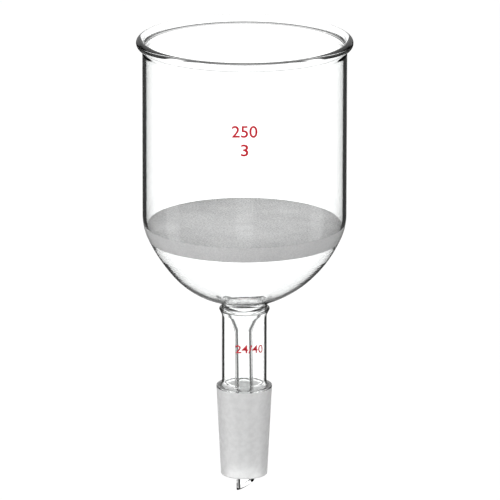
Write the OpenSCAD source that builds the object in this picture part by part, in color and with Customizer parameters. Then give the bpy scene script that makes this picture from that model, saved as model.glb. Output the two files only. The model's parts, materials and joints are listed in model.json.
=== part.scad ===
// Filter funnel with a fritted disc, a 24/40 ground cone and a drip tube.
// Origin on the axis at the large end of the ground cone, +Z up towards the mouth, sizes in mm.

/* [Bowl] */
// Outside diameter of the straight wall
bowl_od = 87.4; // [83:0.1:92]
// Thickness of the bowl's glass
bowl_wall = 1.6; // [1.4:0.1:2.2]
// Height of the top of the straight wall
wall_top = 149.2; // [120:0.1:200]
// Height where the straight wall turns in towards the bottom
wall_bottom = 76; // [75:0.1:80]

/* [Rim] */
// Thickness of the fire-polished bead
bead_t = 3.7; // [3.2:0.1:4.4]
// How far the bead's middle line stands out from the wall
bead_out = 0.8; // [0.5:0.1:1.2]
// Height of the bead's centre above the straight wall
bead_rise = 2.2; // [1.8:0.1:2.6]

/* [Round bottom] */
// Radius of the outer turn below the wall
turn_r = 23.6; // [21:0.1:26]
// Angle of that turn, in degrees
turn_angle = 24; // [22:0.5:28]
// Radius of the flatter flank below the turn
flank_r = 61.4; // [57:0.1:65]
// Angle from level at which the flank ends, in degrees
flank_end = 42.5; // [40:0.5:50]

/* [Fritted disc] */
// Height of the disc's underside
frit_z = 65.4; // [64:0.1:67]
// Thickness of the disc
frit_t = 6.8; // [3:0.1:7.6]

/* [Inlet] */
// Radius where the bowl's inside turns down into the inlet
throat_r = 9.5; // [9.2:0.1:10.2]
// Radius of the inlet below that turn
mouth_r = 7.2; // [6.8:0.1:7.4]
// Depth of that turn
mouth_drop = 1.6; // [1.2:0.1:2]
// Radius of the inlet where it narrows to the drip tube
inlet_r = 5.3; // [5:0.1:5.4]
// Height of that place above the straight drip tube
inlet_rise = 6.8; // [6.4:0.1:7]

/* [Ring seal] */
// Radius of the neck under the bowl
neck_r = 9.1; // [8.9:0.1:9.3]
// Height of the collar's lip
collar_z = 34; // [33.9:0.1:34.3]
// How far the lip stands out from the stem
collar_out = 1.3; // [1.1:0.1:1.6]
// Radius of the lip's rounding
collar_lip = 0.55; // [0.4:0.05:0.7]
// Height over which the stem widens to the collar
collar_flare = 2.5; // [2:0.1:3]

/* [Stem] */
// Outside diameter of the stem
stem_od = 19.3; // [19:0.1:19.7]
// Thickness of the stem's glass
stem_wall = 1; // [0.8:0.05:1.2]
// Height of the closed top of the space around the drip tube
gap_top = 34; // [33.7:0.1:34.2]
// Radius of the shoulder's hollow, between the stem and the cone
shoulder_r = 1.5; // [1.2:0.1:1.8]

/* [Ground cone] */
// Diameter of the large end of the standard cone
cone_large_d = 24; // [24:24]
// Length of the ground zone
cone_l = 40; // [40:40]
// Length over which the cone's diameter grows by 1
cone_taper = 10; // [10:10]
// Thickness of the cone's glass
cone_wall = 1.6; // [1.5:0.1:1.9]
// Width of the bevel at the large end
cone_bevel = 0.3; // [0.1:0.1:0.5]
// Radius of the rounding at the small end
cone_round = 1.4; // [0.6:0.1:1.4]

/* [Drip tube] */
// Outside diameter of the drip tube
drip_od = 8; // [7:0.1:8.4]
// Bore of the drip tube
drip_id = 4.8; // [4:0.1:5.4]
// Height where the drip tube begins to widen into the inlet
inlet_z = 24.6; // [22:0.1:25]
// Depth of the long side of the bevelled tip below the origin
tip_long = 47.5; // [46:0.5:60]
// Angle of the bevel, in degrees
tip_angle = 32; // [20:1:40]

/* [Hidden] */
$fn = 96;
steps = 10;         // flat steps in each drawn arc
past = 2;           // how far a cutting outline runs past what it cuts
ease = 0.4;         // height over which one wall gives way to the next
bead_bite = 0.3;    // how far the wall's outline runs into the bead
lip_start = -25;    // angles over which the collar's lip is rounded
lip_end = 60;
neck_rise = 1.9;    // height of the neck's foot above the collar's lip
gap_flat = 1.6;     // width of the flat top of the space around the drip tube
gap_flare = 0.45;   // how far that space widens from the stem's bore to its top

bowl_r = bowl_od / 2;
stem_r = stem_od / 2;
stem_ir = stem_r - stem_wall;
drip_r = drip_od / 2;
bore_r = drip_id / 2;
drip_wall = drip_r - bore_r;

// Rim
bead_c = [bowl_r + bead_out, wall_top + bead_rise];
bead_reach = bead_t / 2 - bead_bite;
rim_top = bead_c[1] + bead_t / 2;

// Centres of the bottom's three arcs, each on the line through the last arc's end
turn_c = [bowl_r - turn_r, wall_bottom];
flank_c = turn_c - (flank_r - turn_r) * [cos(turn_angle), -sin(turn_angle)];
crown_r = flank_r + flank_c[0] / cos(flank_end);
crown_c = flank_c + (flank_r - crown_r) * [cos(flank_end), -sin(flank_end)];

// Inlet from the bowl down to the bore
mouth = [mouth_r, crown_z(bowl_wall, throat_r) - mouth_drop];
narrow = [inlet_r, inlet_z + inlet_rise];

// Ring seal
lip_c = [stem_r + collar_out - collar_lip, collar_z];
collar_foot = collar_z - collar_flare;
gap_r = stem_ir + gap_flare;

// Shoulder and ground cone
function cone_r(z) = (cone_large_d + z / cone_taper) / 2;
shoulder_c = [stem_r + shoulder_r, cone_bevel + shoulder_r];
cone_end_c = [cone_r(cone_round - cone_l) - cone_round, cone_round - cone_l];
cone_end_ir = cone_r(-cone_l) - cone_wall;

// Points along an arc from angle a to angle b, without its last point
function arc(c, r, a, b) = [
    for (i = [0:steps - 1]) c + r * [cos(a + (b - a) * i / steps), sin(a + (b - a) * i / steps)]];

// Height on the crown, drawn in by a wall's thickness, where its radius is at_r
function crown_z(inset, at_r) = crown_c[1] - sqrt(pow(crown_r - inset, 2) - pow(at_r, 2));

// The bowl's round bottom, drawn in by a wall's thickness, from where its radius is start_r up to the wall
function bowl_line(inset, start_r) = concat(
    arc(crown_c, crown_r - inset, -acos(start_r / (crown_r - inset)), -flank_end),
    arc(flank_c, flank_r - inset, -flank_end, -turn_angle),
    arc(turn_c, turn_r - inset, -turn_angle, 0),
    [[bowl_r - inset, wall_bottom]]);

// Outline of everything solid, from the tip up to the bead, with the hollows still filled
module outside_section() {
    polygon(concat(
        [[0, -tip_long - past], [drip_r, -tip_long - past], [drip_r, -cone_l]],
        arc(cone_end_c, cone_round, -90, 0),
        [[cone_r(cone_end_c[1]), cone_end_c[1]], [cone_r(0), 0], [cone_r(0) - cone_bevel, cone_bevel]],
        arc(shoulder_c, shoulder_r, -90, -180),
        [[stem_r, shoulder_c[1]], [stem_r, collar_foot]],
        arc(lip_c, collar_lip, lip_start, lip_end),
        [[neck_r, collar_z + neck_rise]],
        bowl_line(0, neck_r),
        [[bowl_r, wall_top], [bead_c[0] + bead_reach / 2, bead_c[1]], [0, bead_c[1]]]));
}

// Hollow of the bowl, with the inlet and the drip tube's bore under it
module inside_section() {
    polygon(concat(
        [[0, -tip_long - 2 * past], [bore_r, -tip_long - 2 * past], [bore_r, inlet_z]],
        [narrow, mouth],
        bowl_line(bowl_wall, throat_r),
        [[bowl_r - bowl_wall, wall_top - ease], [bead_c[0] - bead_reach, bead_c[1]]],
        [[bead_c[0] - bead_reach, rim_top + past], [0, rim_top + past]]));
}

// Hollow between the drip tube and the stem, open at the small end of the cone
module gap_section() {
    polygon([
        [drip_r, -cone_l - past],
        [cone_end_ir, -cone_l - past],
        [cone_end_ir, -cone_l],
        [cone_r(0) - cone_wall, -cone_wall],
        [stem_ir, shoulder_r],
        [stem_ir, collar_foot - ease],
        [gap_r, gap_top - ease],
        [gap_r, gap_top],
        [gap_r - gap_flat, gap_top],
        [narrow[0] + drip_wall, narrow[1] + ease],
        [drip_r, inlet_z - ease]]);
}

// Slanted block that takes off the drip tube's tip
module tip_cut() {
    block = 1.5 * drip_od;
    translate([0, 0, drip_r * tan(tip_angle) - tip_long])
        rotate([0, -tip_angle, 0])
            translate([-block / 2, -block / 2, -block])
                cube(block);
}

module glass_body() {
    color([0.93, 0.96, 0.96, 0.35])
        difference() {
            rotate_extrude() {
                difference() {
                    outside_section();
                    inside_section();
                    gap_section();
                }
                translate(bead_c)
                    circle(d = bead_t);
            }
            tip_cut();
        }
}

module fritted_disc() {
    color([0.93, 0.93, 0.92])
        rotate_extrude()
            intersection() {
                inside_section();
                translate([0, frit_z])
                    square([bowl_r, frit_t]);
            }
}

glass_body();
fritted_disc();
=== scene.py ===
"""Looks of the fritted glass filter funnel: clear glass, frosted cone, sintered disc and red print.

Sizes are in mm unless a name or comment says otherwise, in the frame of the CAD: the origin is on
the axis at the large end of the ground cone, and +Z runs up to the mouth. Meshes are in metres.
"""

import json
import math

import bmesh
import bpy
from mathutils import Euler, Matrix, Quaternion, Vector, noise


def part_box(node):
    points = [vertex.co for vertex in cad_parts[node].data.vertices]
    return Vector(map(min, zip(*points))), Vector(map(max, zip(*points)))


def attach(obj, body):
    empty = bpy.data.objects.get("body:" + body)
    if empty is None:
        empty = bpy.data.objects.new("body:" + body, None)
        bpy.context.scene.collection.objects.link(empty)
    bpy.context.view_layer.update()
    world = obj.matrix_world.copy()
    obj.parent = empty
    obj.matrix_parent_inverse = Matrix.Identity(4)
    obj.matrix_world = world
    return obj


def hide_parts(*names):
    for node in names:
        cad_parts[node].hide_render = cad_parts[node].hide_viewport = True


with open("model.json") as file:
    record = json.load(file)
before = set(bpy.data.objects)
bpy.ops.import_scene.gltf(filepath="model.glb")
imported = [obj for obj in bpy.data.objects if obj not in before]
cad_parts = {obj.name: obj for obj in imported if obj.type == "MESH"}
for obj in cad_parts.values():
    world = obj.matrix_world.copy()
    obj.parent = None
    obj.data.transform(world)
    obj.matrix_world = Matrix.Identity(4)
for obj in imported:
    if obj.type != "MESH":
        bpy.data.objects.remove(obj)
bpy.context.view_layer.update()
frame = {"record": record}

# ------------------------------------------------------------------------------------ sizes
MM = 0.001
MOUNTS = {mount["name"]: mount for mount in frame["record"]["mounts"]}
GLASS_LOW, GLASS_HIGH = [[c / MM for c in corner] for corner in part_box("glass_body")]
FRIT_LOW, FRIT_HIGH = [[c / MM for c in corner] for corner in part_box("fritted_disc")]

# Bowl and rim
WALL = 1.6
BOWL_IR = MOUNTS["bowl"]["dims"]["r_mm"]
BOWL_R = BOWL_IR + WALL
BEAD_T = 3.7
BEAD_R = GLASS_HIGH[0] - BEAD_T / 2
BEAD_Z = GLASS_HIGH[2] - BEAD_T / 2
BEAD_ARC = (-80, 130)           # where the bead starts and ends, in degrees above level outwards
WALL_TOP = BEAD_Z - 2.2
WALL_BOTTOM = 76
STRAIGHT_START = WALL_BOTTOM + 1
RIM_NOTCH = 0.4                 # depth of the notch under the bead, below the straight wall's top
LIP_OUT, LIP_DROP = 0.4, 2      # corner of the mouth's inside, from the wall and the bead's centre
FLARE_START = 2.5               # how far below the wall's top its inside begins to flare

# Round bottom
TURN_R = 23.6
TURN_ANGLE = 24
FLANK_R = 61.4
FLANK_END = 42.5
BOTTOM_THIN = 0.45              # how much thinner the glass is under the disc
THIN_Z = (FRIT_LOW[2] - 0.5, FRIT_LOW[2] - 6.5)     # heights over which it gets thinner
THIN_R = (11, 16)               # radii over which it does, from the throat outwards

# Inlet and drip tube
THROAT_R = 10.2                 # radius where the bowl's inside turns down into the inlet
MOUTH_R, MOUTH_DROP = 7.2, 1.7
INLET_R = 5.3
INLET_Z = 24.6
INLET_RISE = 6.8
EASE = 0.4                      # how far a tube's outside turns above or below its inside
DRIP_R = 4.0
DRIP_IR = MOUNTS["drip_bore"]["dims"]["r_mm"]
DRIP_WALL = DRIP_R - DRIP_IR
DRIP_MID = (DRIP_R + DRIP_IR) / 2
TIP_LONG = -GLASS_LOW[2]
TIP_SLOPE = math.tan(math.radians(32))

# Ring seal and stem
NECK_R = 9.1
NECK_RISE = 1.9                 # height of the neck's foot above the collar's lip
COLLAR_Z = 34.0
COLLAR_OUT = 1.3
COLLAR_FLARE = 2.6              # height below the lip over which the stem's outside widens
STEM_FLARE = 2.9                # the same for its inside
STEM_R = 9.65
STEM_IR = 8.65
GAP_TOP = 34.0
CEILING_IN = (7.4, GAP_TOP + 0.3)     # corners of the closed top of the space round the drip tube
CEILING_OUT = (9.0, GAP_TOP - 0.5)

# Shoulder and ground cone
CONE_R = MOUNTS["ground_joint"]["dims"]["r_mm"]
CONE_L = MOUNTS["ground_joint"]["dims"]["length_mm"]
CONE_TAPER = 20                 # length over which the radius grows by 1
CONE_END_R = CONE_R - CONE_L / CONE_TAPER
CONE_WALL = 1.6
SHOULDER_R = 1.5
BEVEL_Z = -CONE_L - 1.5         # height below which the drip tube is squashed to give its bevel

# Roundings of the corners of the glass section
ROUND = {
    "tip": 0.3, "tube": 6, "inlet": 3, "ceiling_in": 0.3, "ceiling_out": 0.4, "stem_flare": 3,
    "shoulder_inside": 3, "cone_inside": 2.5, "cone_end_inside": 0.5, "cone_end": 1.8,
    "cone_top": 0.4, "collar_foot": 2, "collar_lip": 0.45, "neck": 1.0, "rim_notch": 1.5,
    "bead_foot": 0.3, "lip": 3, "flare": 6, "mouth": 3, "narrow": 5, "bore": 4}

# Unevenness of the hand-made seal
SEAL_Z, SEAL_R = (31, 41), (5, 24)    # heights and radii between which the seal is uneven
SEAL_RIPPLE = 0.35              # how far it swings in and out
SEAL_SWAY = 0.25                # how far it rises and falls, twice round
SEAL_PHASE = 0.7
RIPPLE_TURN, RIPPLE_RISE = 1.4, 0.35  # how quickly the ripple changes round and up
TILT = 0.45                     # how far the bottom above the seal is tilted
TILT_R = (6, 44)
TILT_TOP, TILT_FOOT = (57, 50), (33, 37)    # heights over which the tilt sets in at both ends
DRIP_LEAN = 0.016               # sideways drift of the drip tube for each unit of height
DRIP_TRUE_Z = 1.0               # where the leaning drip tube crosses the axis
LEAN_Z, LEAN_R = (INLET_Z + 8, INLET_Z), (8, 6)     # over which the lean sets in

# Meshes
TURNS = 176                     # faces round the glass
SAME_POINT = 1e-7               # points nearer than this, in metres, become one
FRIT_SINK = 0.25                # how far the disc's edge sits in the wall, so that no air shows
FRIT_RINGS = (0, 8, 16, 24, 32, 38)
FRIT_WALL_END = 12              # radius down to which the wall is followed for the disc's edge
LEVEL_FACE = 0.9                # a face whose normal is steeper than this is shaded flat

# Print
PRINT_PROUD = 0.03
PRINT_SLOPE = 0.2               # drop of a line's ends, for each unit of depth round the wall
PRINT_CUT = 0.25                # width of the strips in which print follows the wall
PRINTS = (                      # name, text, width and height, wall, place and height, stroke
    ("number_volume", "250", (10.9, 5.2), BOWL_R, (0, 123.2), 0.07),
    ("number_grade", "3", (3.2, 5.2), BOWL_R, (0, 115.1), 0.07),
    ("number_joint", "24/40", (13.0, 3.6), STEM_R, (2.6, 18.3), 0.04))


# --------------------------------------------------------------------------------- outlines
def fade(x, start, end):
    """0 up to start, 1 from end on and straight between them; start may be the larger."""
    return min(max((x - start) / (end - start), 0), 1)


def bump(x, low, high):
    """A smooth hill from 0 at low to 1 in the middle and 0 at high."""
    return math.sin(math.pi * fade(x, low, high)) ** 2


def arc(cx, cz, radius, start, end, steps):
    """Points along an arc, angles in degrees from the +r direction, both ends included."""
    angles = [math.radians(start + (end - start) * i / steps) for i in range(steps + 1)]
    return [(cx + radius * math.cos(a), cz + radius * math.sin(a)) for a in angles]


def rounded(corners, steps=6, share=0.45):
    """A path through corners of (r, z, rounding), with a curve of steps in place of each corner.

    A rounding takes up at most a share of each stretch beside it, and the path's ends stay sharp.
    """
    path = []
    for i, (r, z, radius) in enumerate(corners):
        if not radius or i in (0, len(corners) - 1):
            path.append((r, z))
            continue
        here = Vector((r, z))
        back = Vector(corners[i - 1][:2]) - here
        on = Vector(corners[i + 1][:2]) - here
        half = back.normalized().angle(on.normalized()) / 2
        reach = min(radius / math.tan(half), share * back.length, share * on.length)
        start = here + back.normalized() * reach
        end = here + on.normalized() * reach
        for k in range(steps + 1):
            t = k / steps
            path.append(tuple(start * (1 - t) ** 2 + here * 2 * t * (1 - t) + end * t * t))
    return path


def bottom_arcs(inset, inner_r):
    """The bowl's round bottom from the wall down to inner_r, drawn in by a wall's thickness."""
    turn = Vector((BOWL_R - TURN_R, WALL_BOTTOM))
    a = math.radians(TURN_ANGLE)
    b = math.radians(FLANK_END)
    flank = turn - (FLANK_R - TURN_R) * Vector((math.cos(a), -math.sin(a)))
    crown_r = FLANK_R + flank.x / math.cos(b)
    crown = flank + (FLANK_R - crown_r) * Vector((math.cos(b), -math.sin(b)))
    last = -math.degrees(math.acos(inner_r / (crown_r - inset)))
    points = arc(*turn, TURN_R - inset, 0, -TURN_ANGLE, steps=12)
    points += arc(*flank, FLANK_R - inset, -TURN_ANGLE, -FLANK_END, steps=12)[1:]
    points += arc(*crown, crown_r - inset, -FLANK_END, last, steps=20)[1:]
    return points


def thinned(r, z):
    """Moves a point of the inside outwards a little below the disc, where the glass is thinner."""
    out = Vector((r, z - WALL_BOTTOM)).normalized()
    by = BOTTOM_THIN * fade(z, *THIN_Z) * fade(r, *THIN_R)
    return r + by * out.x, z + by * out.y


def gap_path():
    """Up the drip tube's outside, over the space round it, down the stem and round the cone."""
    return rounded([
        (DRIP_MID, -TIP_LONG, 0),
        (DRIP_R, -TIP_LONG, ROUND["tip"]),
        (DRIP_R, INLET_Z - EASE, ROUND["tube"]),
        (INLET_R + DRIP_WALL, INLET_Z + INLET_RISE + EASE, ROUND["inlet"]),
        (*CEILING_IN, ROUND["ceiling_in"]),
        (*CEILING_OUT, ROUND["ceiling_out"]),
        (STEM_IR, COLLAR_Z - STEM_FLARE, ROUND["stem_flare"]),
        (STEM_IR, SHOULDER_R, ROUND["shoulder_inside"]),
        (CONE_R - CONE_WALL, -CONE_WALL, ROUND["cone_inside"]),
        (CONE_END_R - CONE_WALL, -CONE_L, ROUND["cone_end_inside"]),
        (CONE_END_R, -CONE_L, ROUND["cone_end"]),
        (CONE_R, 0, ROUND["cone_top"]),
        (STEM_R + SHOULDER_R, 0, 0)])


def stem_path(end):
    """Up the shoulder, the stem's outside, the collar and the neck to a point of the bottom."""
    shoulder = arc(STEM_R + SHOULDER_R, SHOULDER_R, SHOULDER_R, -90, -180, steps=10)
    above = rounded([
        (*shoulder[-1], 0),
        (STEM_R, COLLAR_Z - COLLAR_FLARE, ROUND["collar_foot"]),
        (STEM_R + COLLAR_OUT, COLLAR_Z, ROUND["collar_lip"]),
        (NECK_R, COLLAR_Z + NECK_RISE, ROUND["neck"]),
        (*end, 0)])
    return shoulder[1:] + above[1:]


def rim_path():
    """Up the outside of the bowl's wall, round the bead and down the inside."""
    bead = arc(BEAD_R, BEAD_Z, BEAD_T / 2, *BEAD_ARC, steps=36)
    up = rounded([
        (BOWL_R, STRAIGHT_START, 0),
        (BOWL_R, WALL_TOP - RIM_NOTCH, ROUND["rim_notch"]),
        (*bead[0], ROUND["bead_foot"]),
        (*bead[1], 0)])
    down = rounded([
        (*bead[-1], 0),
        (BOWL_IR + LIP_OUT, BEAD_Z - LIP_DROP, ROUND["lip"]),
        (BOWL_IR, WALL_TOP - FLARE_START, ROUND["flare"]),
        (BOWL_IR, STRAIGHT_START, 0)], steps=10)
    return up + bead[2:] + down[1:]


def bore_path(start, throat_z):
    """From the bowl's inside down the inlet and the drip tube's bore, to the middle of the tip."""
    return rounded([
        (*start, 0),
        (MOUTH_R, throat_z - MOUTH_DROP, ROUND["mouth"]),
        (INLET_R, INLET_Z + INLET_RISE, ROUND["narrow"]),
        (DRIP_IR, INLET_Z, ROUND["bore"]),
        (DRIP_IR, -TIP_LONG, ROUND["tip"]),
        (DRIP_MID, -TIP_LONG, 0)], steps=8)


def glass_outline():
    """The closed section of the glass, from the tip up its outside and back down its inside.

    The last points of the bottom's arcs are left out, where the neck and the throat round into it.
    """
    outside = bottom_arcs(0, NECK_R)[-4::-1]
    inside = [thinned(r, z) for r, z in bottom_arcs(WALL, THROAT_R)]
    throat = bore_path(inside[-3], inside[-1][1])
    lower = gap_path() + stem_path(outside[0]) + outside[1:]
    return with_holds(lower + rim_path() + inside[:-3] + throat)


def with_holds(outline, near=0.25, far=5.0):
    """Adds points near the ends of each long straight stretch, and along it at most far apart."""
    points = []
    for i, here in enumerate(outline):
        a = Vector(here)
        b = Vector(outline[(i + 1) % len(outline)])
        length = (b - a).length
        points.append(here)
        if length < 4 * near:
            continue
        step = (b - a) / length
        parts = max(int((length - 2 * near) / far), 0) + 1
        stops = [near + (length - 2 * near) * k / parts for k in range(parts + 1)]
        points += [tuple(a + step * stop) for stop in stops]
    return points


# ----------------------------------------------------------------------------------- pieces
def finished(name, mesh, shape, material):
    """Makes a piece of a finished shape. It rides on the body."""
    bmesh.ops.recalc_face_normals(shape, faces=shape.faces)
    shape.to_mesh(mesh)
    shape.free()
    mesh.materials.append(material)
    piece = bpy.data.objects.new(name, mesh)
    bpy.context.scene.collection.objects.link(piece)
    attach(piece, "root")
    return piece


def revolved(name, outline, place, material):
    """A closed lathe piece. place(r, z, angle) puts each point of the outline, in mm."""
    angles = [2 * math.pi * k / TURNS for k in range(TURNS)]
    points = [place(r, z, angle) * MM for r, z in outline for angle in angles]
    faces = []
    for i in range(len(outline)):
        j = (i + 1) % len(outline)
        for k in range(TURNS):
            m = (k + 1) % TURNS
            faces.append((i * TURNS + k, i * TURNS + m, j * TURNS + m, j * TURNS + k))
    mesh = bpy.data.meshes.new(name)
    mesh.from_pydata(points, [], faces)
    mesh.shade_smooth()
    shape = bmesh.new()
    shape.from_mesh(mesh)
    bmesh.ops.remove_doubles(shape, verts=shape.verts, dist=SAME_POINT)
    loose = [edge for edge in shape.edges if not edge.link_faces]
    bmesh.ops.delete(shape, geom=loose, context="EDGES")
    return finished(name, mesh, shape, material)


def glass_point(r, z, angle):
    """Puts a point of the glass outline in place, with the bevelled tip and the uneven seal."""
    seal = bump(z, *SEAL_Z) * bump(r, *SEAL_R)
    tilt = bump(r, *TILT_R) * fade(z, *TILT_TOP) * fade(z, *TILT_FOOT)
    spot = Vector((RIPPLE_TURN * math.cos(angle), RIPPLE_TURN * math.sin(angle), z * RIPPLE_RISE))
    r += SEAL_RIPPLE * seal * noise.noise(spot)
    z += SEAL_SWAY * seal * math.sin(2 * angle + SEAL_PHASE) + TILT * tilt * math.cos(angle)
    x = r * math.cos(angle)
    if z < BEVEL_Z:
        full = TIP_LONG + BEVEL_Z
        left = full - (x + DRIP_R) * TIP_SLOPE
        z = BEVEL_Z + (z - BEVEL_Z) * left / full
    x -= DRIP_LEAN * (z - DRIP_TRUE_Z) * fade(z, *LEAN_Z) * fade(r, *LEAN_R)
    return Vector((x, r * math.sin(angle), z))


def build_glass():
    glass = revolved("funnel_glass", glass_outline(), glass_point, glass_material())
    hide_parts("glass_body")


def plain_point(r, z, angle):
    """Puts a point of an even outline in place."""
    return Vector((r * math.cos(angle), r * math.sin(angle), z))


def edge_radius(wall, z):
    """Radius of the disc's edge at a height, from the points of the bowl's inside."""
    for (r0, z0), (r1, z1) in zip(wall, wall[1:]):
        if z1 <= z <= z0:
            return r0 + (r1 - r0) * (z0 - z) / (z0 - z1) + FRIT_SINK


def frit_outline():
    """Section of the disc, its edge a little inside the bowl's wall."""
    low, high = FRIT_LOW[2], FRIT_HIGH[2]
    wall = bottom_arcs(WALL, FRIT_WALL_END)
    edge = [(r + FRIT_SINK, z) for r, z in wall if low < z < high]
    side = [(edge_radius(wall, high), high), *edge, (edge_radius(wall, low), low)]
    return [(r, high) for r in FRIT_RINGS] + side + [(r, low) for r in reversed(FRIT_RINGS)]


def build_frit():
    frit = revolved("sintered_disc", frit_outline(), plain_point, frit_material())
    for polygon in frit.data.polygons:
        polygon.use_smooth = abs(polygon.normal.z) < LEVEL_FACE
    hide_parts("fritted_disc")


def text_mesh(name, text, height, stroke):
    """The mesh of flat text, its stroke swelled a little."""
    curve = bpy.data.curves.new(name + "_text", "FONT")
    curve.body = text
    curve.size = height
    curve.offset = stroke
    curve.resolution_u = 6
    flat = bpy.data.objects.new(name + "_flat", curve)
    bpy.context.scene.collection.objects.link(flat)
    bpy.context.view_layer.update()
    mesh = bpy.data.meshes.new_from_object(flat)
    bpy.data.objects.remove(flat)
    bpy.data.curves.remove(curve)
    return mesh


def build_number(name, text, size, radius, place, stroke):
    """Plain digits of a given width and height, wrapped round the front of the glass."""
    mesh = text_mesh(name, text, size[1], stroke)
    shape = bmesh.new()
    shape.from_mesh(mesh)
    for i in (0, 1):
        low = min(v.co[i] for v in shape.verts)
        high = max(v.co[i] for v in shape.verts)
        for v in shape.verts:
            v.co[i] = ((v.co[i] - low) / (high - low) - 0.5) * size[i]
    cuts = int(size[0] / PRINT_CUT)
    for i in range(1, cuts):
        parts = shape.verts[:] + shape.edges[:] + shape.faces[:]
        at = (size[0] * (i / cuts - 0.5), 0, 0)
        bmesh.ops.bisect_plane(shape, geom=parts, plane_co=at, plane_no=(1, 0, 0))
    for v in shape.verts:
        a = (v.co.x + place[0]) / radius
        z = place[1] + v.co.y - PRINT_SLOPE * radius * (1 - math.cos(a))
        v.co = Vector((radius * math.sin(a), -radius * math.cos(a), z)) * MM
    finished(name, mesh, shape, print_material())


def build_print():
    for name, text, size, wall_r, place, stroke in PRINTS:
        build_number(name, text, size, wall_r + PRINT_PROUD, place, stroke)


# ------------------------------------------------------------------------------ shader nodes
def new_material(name):
    material = bpy.data.materials.new(name)
    material.use_nodes = True
    tree = material.node_tree
    return material, tree, tree.nodes["Principled BSDF"]


def feed(tree, socket, value):
    """Links a socket to another node's output, or sets it to a plain number or colour."""
    if isinstance(value, bpy.types.NodeSocket):
        tree.links.new(value, socket)
    else:
        socket.default_value = value


def maths(tree, how, *values):
    """A math node on outputs and plain numbers."""
    node = tree.nodes.new("ShaderNodeMath")
    node.operation = how
    for socket, value in zip(node.inputs, values):
        feed(tree, socket, value)
    return node.outputs[0]


def map_range(tree, source, from_min, from_max, to_min=0.0, to_max=1.0):
    node = tree.nodes.new("ShaderNodeMapRange")
    feed(tree, node.inputs["Value"], source)
    limits = {"From Min": from_min, "From Max": from_max, "To Min": to_min, "To Max": to_max}
    for name, value in limits.items():
        node.inputs[name].default_value = value
    return node.outputs["Result"]


def opposite(tree, mask):
    """1 where a mask is 0, and 0 where it is 1."""
    return map_range(tree, mask, 0, 1, 1.0, 0.0)


def grey(value):
    """A plain number as a colour; anything else as it is."""
    return (value, value, value, 1) if isinstance(value, (int, float)) else value


def ramp_node(tree, source, stops):
    """A colour ramp with stops of (place, number or colour)."""
    ramp = tree.nodes.new("ShaderNodeValToRGB")
    while len(ramp.color_ramp.elements) < len(stops):
        ramp.color_ramp.elements.new(0.5)
    for element, (place, value) in zip(ramp.color_ramp.elements, stops):
        element.position = place
        element.color = grey(value)
    feed(tree, ramp.inputs["Fac"], source)
    return ramp.outputs["Color"]


def mix_colour(tree, factor, a, b):
    """a where the factor is 0 and b where it is 1; each is an output, a number or a colour."""
    node = tree.nodes.new("ShaderNodeMix")
    node.data_type = "RGBA"
    first, second = [socket for socket in node.inputs if socket.type == "RGBA"]
    feed(tree, node.inputs["Factor"], factor)
    feed(tree, first, grey(a))
    feed(tree, second, grey(b))
    return next(socket for socket in node.outputs if socket.type == "RGBA")


def mix_shader(tree, factor, a, b):
    """Shader a where the factor is 0 and b where it is 1."""
    node = tree.nodes.new("ShaderNodeMixShader")
    for socket, value in zip(node.inputs, (factor, a, b)):
        feed(tree, socket, value)
    return node.outputs["Shader"]


def noise_node(tree, place, scale, detail=3.0, rough=0.5):
    node = tree.nodes.new("ShaderNodeTexNoise")
    node.inputs["Scale"].default_value = scale
    node.inputs["Detail"].default_value = detail
    node.inputs["Roughness"].default_value = rough
    feed(tree, node.inputs["Vector"], place)
    return node.outputs["Fac"]


def coordinates(tree, kind="Object"):
    """A piece's own coordinates, or the world's Generated direction."""
    return tree.nodes.new("ShaderNodeTexCoord").outputs[kind]


def axes(tree, vector):
    """The x, y and z of a vector."""
    split = tree.nodes.new("ShaderNodeSeparateXYZ")
    feed(tree, split.inputs["Vector"], vector)
    return [split.outputs[name] for name in "XYZ"]


def axis_distance(tree, place):
    """Distance of a place from the funnel's axis."""
    flat = tree.nodes.new("ShaderNodeVectorMath")
    flat.operation = "MULTIPLY"
    feed(tree, flat.inputs[0], place)
    flat.inputs[1].default_value = (1, 1, 0)
    out = tree.nodes.new("ShaderNodeVectorMath")
    out.operation = "LENGTH"
    feed(tree, out.inputs[0], flat.outputs["Vector"])
    return out.outputs["Value"]


# -------------------------------------------------------------------------------- materials
# The scales of grain, mottle, clouds and speckle are those of noise on coordinates in metres.
GLASS_IOR = 1.473               # borosilicate glass
CLEAR_TINT = (0.985, 0.992, 0.99, 1)
FROST_TOP = (-0.6, -1.1)        # heights over which the ground zone sets in at the top
FROST_FOOT = (-CONE_L - 0.2, -CONE_L - 0.1)     # and at the bottom
FROST_SKIN = 0.5                # how far in from the cone's face the frost reaches
FROST_CLEAR = 0.4               # share of the light that the ground glass lets through
FROST_TONE = (0.72, 0.80)       # darkest and lightest of its mottle
FROST_ROUGH = (0.5, 0.65)
FROST_GRAIN, FROST_MOTTLE = 900, 500

FRIT_SHADED_TOP = ((0.66, 0.655, 0.66, 1), (0.98, 0.975, 0.975, 1))        # darkest and lightest; darker than the edge, as painted shade on the top
FRIT_SIDE = ((0.80, 0.795, 0.80, 1), (0.95, 0.945, 0.945, 1))
FRIT_GRAIN, FRIT_CLOUDS = 1300, 90
CLOUD_SHARE = 0.2               # share of the clouds in the disc's colour
FRIT_RELIEF = 0.0004            # height of its grain in the bump, in metres
TOP_SKIN = 0.1                  # how far down the top's colour, with its painted shade, reaches

ENAMEL = ((0.46, 0.006, 0.018, 1), (0.56, 0.014, 0.032, 1))         # thickest and thinnest
ENAMEL_SPECKLE = 1200


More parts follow.
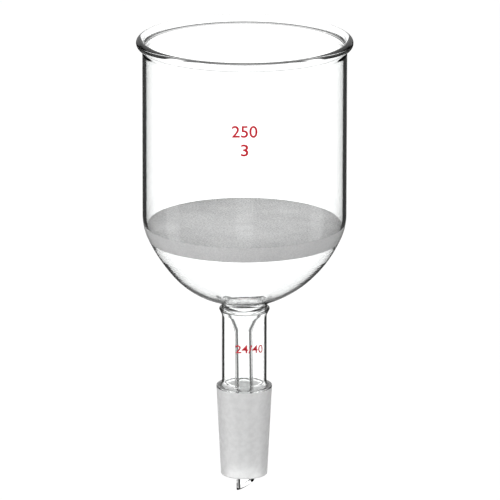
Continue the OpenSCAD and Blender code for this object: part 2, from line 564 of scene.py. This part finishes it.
def frost_mask(tree, place):
    """1 on the outside of the ground cone and 0 elsewhere."""
    height = axes(tree, place)[2]
    reach = [(r - FROST_SKIN) * MM for r in (CONE_END_R, CONE_R)]
    face = map_range(tree, height, -CONE_L * MM, 0, *reach)
    outside = maths(tree, "GREATER_THAN", axis_distance(tree, place), face)
    high, low = [z * MM for z in FROST_TOP]
    under_top = map_range(tree, height, low, high, 1.0, 0.0)
    over_foot = map_range(tree, height, *[z * MM for z in FROST_FOOT])
    zone = maths(tree, "MULTIPLY", under_top, over_foot)
    return maths(tree, "MULTIPLY", zone, outside)


def glass_material():
    """Clear borosilicate glass, ground to an even frost between the cone's two ends."""
    material, tree, shader = new_material("borosilicate")
    place = coordinates(tree)
    frost = frost_mask(tree, place)
    grain = noise_node(tree, place, FROST_GRAIN, 2.0)
    rough = maths(tree, "MULTIPLY", frost, map_range(tree, grain, 0.3, 0.7, *FROST_ROUGH))
    mottle = noise_node(tree, place, FROST_MOTTLE, 4.0)
    tone = ramp_node(tree, mottle, list(zip((0.35, 0.65), FROST_TONE)))
    clear = map_range(tree, frost, 0, 1, 1.0, FROST_CLEAR)
    shader.inputs["IOR"].default_value = GLASS_IOR
    tree.links.new(rough, shader.inputs["Roughness"])
    tree.links.new(clear, shader.inputs["Transmission Weight"])
    tree.links.new(mix_colour(tree, frost, CLEAR_TINT, tone), shader.inputs["Base Color"])
    return material


def frit_material():
    """Sintered glass: matt white and finely granular, its grain plainer on top than on its edge.
    The top is also a little darker than the edge, which is painted shade.
    """
    material, tree, shader = new_material("sintered_glass")
    place = coordinates(tree)
    grain = noise_node(tree, place, FRIT_GRAIN, 3.0, 0.7)
    clouds = noise_node(tree, place, FRIT_CLOUDS, 3.0)
    fine = maths(tree, "MULTIPLY", grain, 1 - CLOUD_SHARE)
    mixed = maths(tree, "MULTIPLY_ADD", clouds, CLOUD_SHARE, fine)
    # painted shade: the top is a little darker than the edge; the grain is the disc's own
    top = ramp_node(tree, mixed, list(zip((0.42, 0.58), FRIT_SHADED_TOP)))
    side = ramp_node(tree, mixed, list(zip((0.35, 0.65), FRIT_SIDE)))
    on_top = maths(tree, "GREATER_THAN", axes(tree, place)[2], (FRIT_HIGH[2] - TOP_SKIN) * MM)
    relief = tree.nodes.new("ShaderNodeBump")
    relief.inputs["Strength"].default_value = 0.8
    relief.inputs["Distance"].default_value = FRIT_RELIEF
    tree.links.new(grain, relief.inputs["Height"])
    shader.inputs["Roughness"].default_value = 0.85
    tree.links.new(mix_colour(tree, on_top, side, top), shader.inputs["Base Color"])
    tree.links.new(relief.outputs["Normal"], shader.inputs["Normal"])
    return material


def print_material():
    """Fired red enamel, a little thin here and there; one material for all the print."""
    name = "red_enamel"
    if name in bpy.data.materials:
        return bpy.data.materials[name]
    material, tree, shader = new_material(name)
    speckle = noise_node(tree, coordinates(tree), ENAMEL_SPECKLE, 2.0)
    colour = ramp_node(tree, speckle, list(zip((0.3, 0.75), ENAMEL)))
    shader.inputs["Roughness"].default_value = 0.5
    shader.inputs["Specular IOR Level"].default_value = 0.2
    tree.links.new(colour, shader.inputs["Base Color"])
    return material


# ----------------------------------------------------------------------------------- studio
# Clear glass shows what is round it, so the floor and the world answer each kind of light path:
# white where the camera sees them directly, and brighter than white through the glass, which is
# painted light. Where the glass turns a path round they show painted reflections: dark, between
# soft white panels a quarter turn apart, which draw dark lines in the glass though nothing dark
# stands round it. Everything else is lit plainly.
PAINTED_DARK_LINE = 0.02                # painted reflection: tone of the dark lines in the glass, near and far
PAINTED_FAR_LINE = 0.12
PAINTED_SOFT_LINE = 0.15                # painted reflection: tone of lines mirrored twice, or behind more glass
PAINTED_GLASS_LIGHT = 1.6             # painted light: brighter than white through glass, which makes up for what the walls take
PAINTED_TUBE_SHADE = 0.3                 # painted shade, seen straight through three thicknesses, as in the drip tube
PAINTED_OVERHEAD_HIGHLIGHT = 0.8                  # painted highlight: tone high up in the world, for paths mirrored in the glass
PAINTED_SKY_SHADE = 0.7                  # painted shade: the same, high up, for paths bent upwards in the glass
PANEL_EDGE = (0.12, 0.22)       # half the sine of twice the angle at which the panels end
WIDE_EDGE = (0.38, 0.46)        # the same for what the outside of the glass mirrors
OVER_EDGE = (0.25, 0.6)         # sine of the height over which the painted reflection gets light
SKY_EDGE = (0.2, 0.3)           # the same for paths bent upwards
PAINTED_GLANCE = 0.45                   # painted reflection: what the outside of the glass mirrors at the horizon
PAINTED_GLANCE_RAMP = ((0.2, PAINTED_DARK_LINE), (0.6, 0.9))    # and higher up, by the sine of the height
ROOM_RAMP = ((0.0, 0.85), (0.5, 0.88), (0.8, 0.92), (1.0, 0.95))    # plain light, floor to top

FLOOR_HALF = 14                 # metres from its middle to its edge
FLOOR_DROP = 0.12               # metres under the tip
FLOOR_WHITE = (0.9, 0.9, 0.9, 1)
FLOOR_GLOW = 0.75               # share of the floor that is plain white where it is seen
FLOOR_STRENGTH = 1.06
FOOT_FADE = (0.50, 0.30)        # metres from the axis over which the floor counts as near, where its painted reflection is darkest

LAMP_SIZE = 0.9                 # metres
LAMP_POWER = 9                  # watts
LAMP_PLACE = Vector((-0.9, -0.9, 1.1))
LAMP_AIM = Vector((0, 0, 0.06))


def light_paths(tree):
    """Masks of the kinds of light path, each 1 on paths of its kind.

    seen      has met no matt surface
    through   has passed into glass
    once      was mirrored, outside the glass or within one thickness of it
    deep      was mirrored behind two thicknesses or more
    again     was mirrored twice or more
    straight  went through three thicknesses and was not mirrored
    """
    path = tree.nodes.new("ShaderNodeLightPath").outputs
    passed = path["Transmission Depth"]
    kinds = maths(tree, "ADD", path["Is Camera Ray"], path["Is Glossy Ray"])
    kinds = maths(tree, "ADD", kinds, path["Is Transmission Ray"])
    mirrored = maths(tree, "GREATER_THAN", path["Glossy Depth"], 0.5)
    pairs = {
        "seen": (maths(tree, "GREATER_THAN", kinds, 0.5),
                 maths(tree, "LESS_THAN", path["Diffuse Depth"], 0.5)),
        "once": (mirrored, maths(tree, "LESS_THAN", passed, 2.5)),
        "deep": (mirrored, maths(tree, "GREATER_THAN", passed, 4.5)),
        "straight": (opposite(tree, mirrored), maths(tree, "COMPARE", passed, 6, 0.5))}
    masks = {name: maths(tree, "MULTIPLY", *pair) for name, pair in pairs.items()}
    masks["through"] = maths(tree, "GREATER_THAN", passed, 0.5)
    masks["again"] = maths(tree, "GREATER_THAN", path["Glossy Depth"], 1.5)
    return masks


def panels(tree, place, steep):
    """Masks of four panels a quarter turn apart, white between the painted dark reflections: the
    narrow ones that light mirrored in the glass meets, which end where steep is 1, and the wide
    ones that the glass mirrors outside."""
    x, y, _ = axes(tree, place)
    square = maths(tree, "ADD", maths(tree, "MULTIPLY", x, x), maths(tree, "MULTIPLY", y, y))
    product = maths(tree, "ABSOLUTE", maths(tree, "MULTIPLY", x, y))
    slant = maths(tree, "DIVIDE", product, square)
    aside = map_range(tree, slant, *PANEL_EDGE)
    narrow = maths(tree, "MULTIPLY", opposite(tree, aside), opposite(tree, steep))
    return narrow, opposite(tree, map_range(tree, slant, *WIDE_EDGE))


def painted_surround(tree, masks, narrow, wide, line):
    """What a seen path meets: white, brighter through glass as painted light, painted shade
    straight through the drip tube, and a line's tone as painted reflection where it was mirrored
    off the panels.
    """
    clear = mix_colour(tree, masks["through"], 1.0, PAINTED_GLASS_LIGHT)
    aside = maths(tree, "MULTIPLY", masks["straight"], opposite(tree, wide))
    clear = mix_colour(tree, aside, clear, PAINTED_TUBE_SHADE)
    dark = mix_colour(tree, masks["again"], line, PAINTED_SOFT_LINE)
    turned = mix_colour(tree, masks["deep"], clear, PAINTED_SOFT_LINE)
    turned = mix_colour(tree, masks["once"], turned, dark)
    single = maths(tree, "MULTIPLY", masks["through"], opposite(tree, masks["again"]))
    return mix_colour(tree, maths(tree, "MULTIPLY", narrow, single), turned, clear)


def build_world():
    """White as seen directly, brighter through the glass as painted light, painted reflections and
    shade in the glass, and plain soft light.
    """
    world = bpy.data.worlds.new("studio")
    world.use_nodes = True
    tree = world.node_tree
    direction = coordinates(tree, "Generated")
    up = axes(tree, direction)[2]
    masks = light_paths(tree)
    over = map_range(tree, up, *OVER_EDGE)
    narrow, wide = panels(tree, direction, over)
    # painted reflection: dark lines, lighter high up, for paths the glass turns round
    shown = painted_surround(tree, masks, narrow, wide, mix_colour(tree, over, PAINTED_FAR_LINE, PAINTED_OVERHEAD_HIGHLIGHT))

    mirrored = maths(tree, "MAXIMUM", masks["once"], masks["deep"])
    bent = maths(tree, "MULTIPLY", masks["through"], opposite(tree, mirrored))
    bent_up = maths(tree, "MULTIPLY", bent, map_range(tree, up, *SKY_EDGE))
    # painted shade: grey for paths bent upwards in the glass
    shown = mix_colour(tree, bent_up, shown, PAINTED_SKY_SHADE)

    # painted reflection in the outside of the glass
    outer = maths(tree, "MULTIPLY", masks["once"], opposite(tree, masks["through"]))
    level = map_range(tree, wide, 0, 1, PAINTED_DARK_LINE, PAINTED_GLANCE)
    glance = maths(tree, "MAXIMUM", level, ramp_node(tree, up, PAINTED_GLANCE_RAMP))
    shown = mix_colour(tree, outer, shown, glance)

    room = ramp_node(tree, map_range(tree, up, -1, 1), ROOM_RAMP)
    colour = mix_colour(tree, masks["seen"], room, shown)
    tree.links.new(colour, tree.nodes["Background"].inputs["Color"])
    bpy.context.scene.world = world


def floor_material():
    """A matt pale floor that shows white, with the object's shadow, and painted reflections in the
    glass, darkest near the foot.
    """
    material, tree, matt = new_material("floor_white")
    matt.inputs["Base Color"].default_value = FLOOR_WHITE
    matt.inputs["Roughness"].default_value = 1.0
    matt.inputs["Specular IOR Level"].default_value = 0.0
    place = coordinates(tree)
    masks = light_paths(tree)
    far, close = FOOT_FADE
    # painted reflection: darker near the foot, for paths the glass turns round
    near = map_range(tree, axis_distance(tree, place), close, far, 1.0, 0.0)
    line = mix_colour(tree, near, PAINTED_DARK_LINE, PAINTED_FAR_LINE)
    glow = tree.nodes.new("ShaderNodeEmission")
    glow.inputs["Strength"].default_value = FLOOR_STRENGTH
    colour = painted_surround(tree, masks, *panels(tree, place, near), line)
    tree.links.new(colour, glow.inputs["Color"])

    matt_out, glow_out = matt.outputs["BSDF"], glow.outputs["Emission"]
    mirrored = maths(tree, "MAXIMUM", masks["once"], masks["deep"])
    shown = mix_shader(tree, FLOOR_GLOW, matt_out, glow_out)
    shown = mix_shader(tree, mirrored, shown, glow_out)
    shown = mix_shader(tree, masks["seen"], matt_out, shown)
    tree.links.new(shown, tree.nodes["Material Output"].inputs["Surface"])
    material.cycles.emission_sampling = "NONE"
    return material


def build_floor():
    """A plain floor some way under the tip."""
    mesh = bpy.data.meshes.new("floor")
    corners = [(-1, -1), (1, -1), (1, 1), (-1, 1)]
    points = [(x * FLOOR_HALF, y * FLOOR_HALF, 0) for x, y in corners]
    mesh.from_pydata(points, [], [(0, 1, 2, 3)])
    mesh.materials.append(floor_material())
    floor = bpy.data.objects.new("floor", mesh)
    floor.location.z = GLASS_LOW[2] * MM - FLOOR_DROP
    bpy.context.scene.collection.objects.link(floor)


def build_lamp():
    """One large soft lamp, high at the left and in front."""
    light = bpy.data.lights.new("softbox", "AREA")
    light.shape = "DISK"
    light.size = LAMP_SIZE
    light.energy = LAMP_POWER
    lamp = bpy.data.objects.new("softbox", light)
    lamp.location = LAMP_PLACE
    lamp.rotation_euler = (LAMP_AIM - LAMP_PLACE).to_track_quat("-Z", "Y").to_euler()
    bpy.context.scene.collection.objects.link(lamp)


# ----------------------------------------------------------------------------------- camera
FRAME_PX = 500                  # width and height of the photograph
FOCAL_PX = 7855
SENSOR_MM = 36
CAMERA_M = 3.3615               # distance from the axis point at LOOK_M, in metres
CAMERA_ELEVATION = 14.405
LOOK_M = 0.099
AXIS_PX = (244.25, 161.712)     # where that axis point shows in the picture
ROLL = 0.1


def build_camera():
    data = bpy.data.cameras.new("camera")
    data.sensor_width = SENSOR_MM
    data.lens = FOCAL_PX * SENSOR_MM / FRAME_PX
    data.clip_start = 0.1
    data.clip_end = 60
    camera = bpy.data.objects.new("camera", data)
    e = math.radians(CAMERA_ELEVATION)
    camera.location = (0, -CAMERA_M * math.cos(e), LOOK_M + CAMERA_M * math.sin(e))
    side, down = [math.atan((FRAME_PX / 2 - at) / FOCAL_PX) for at in AXIS_PX]
    aim = Euler((math.pi / 2 - e - down, 0, -side)).to_quaternion()
    camera.rotation_euler = (aim @ Quaternion((0, 0, 1), math.radians(ROLL))).to_euler()
    bpy.context.scene.collection.objects.link(camera)
    bpy.context.scene.camera = camera


build_camera()
build_world()
build_floor()
build_lamp()
build_glass()
build_frit()
build_print()
bpy.context.scene.view_settings.view_transform = "Standard"
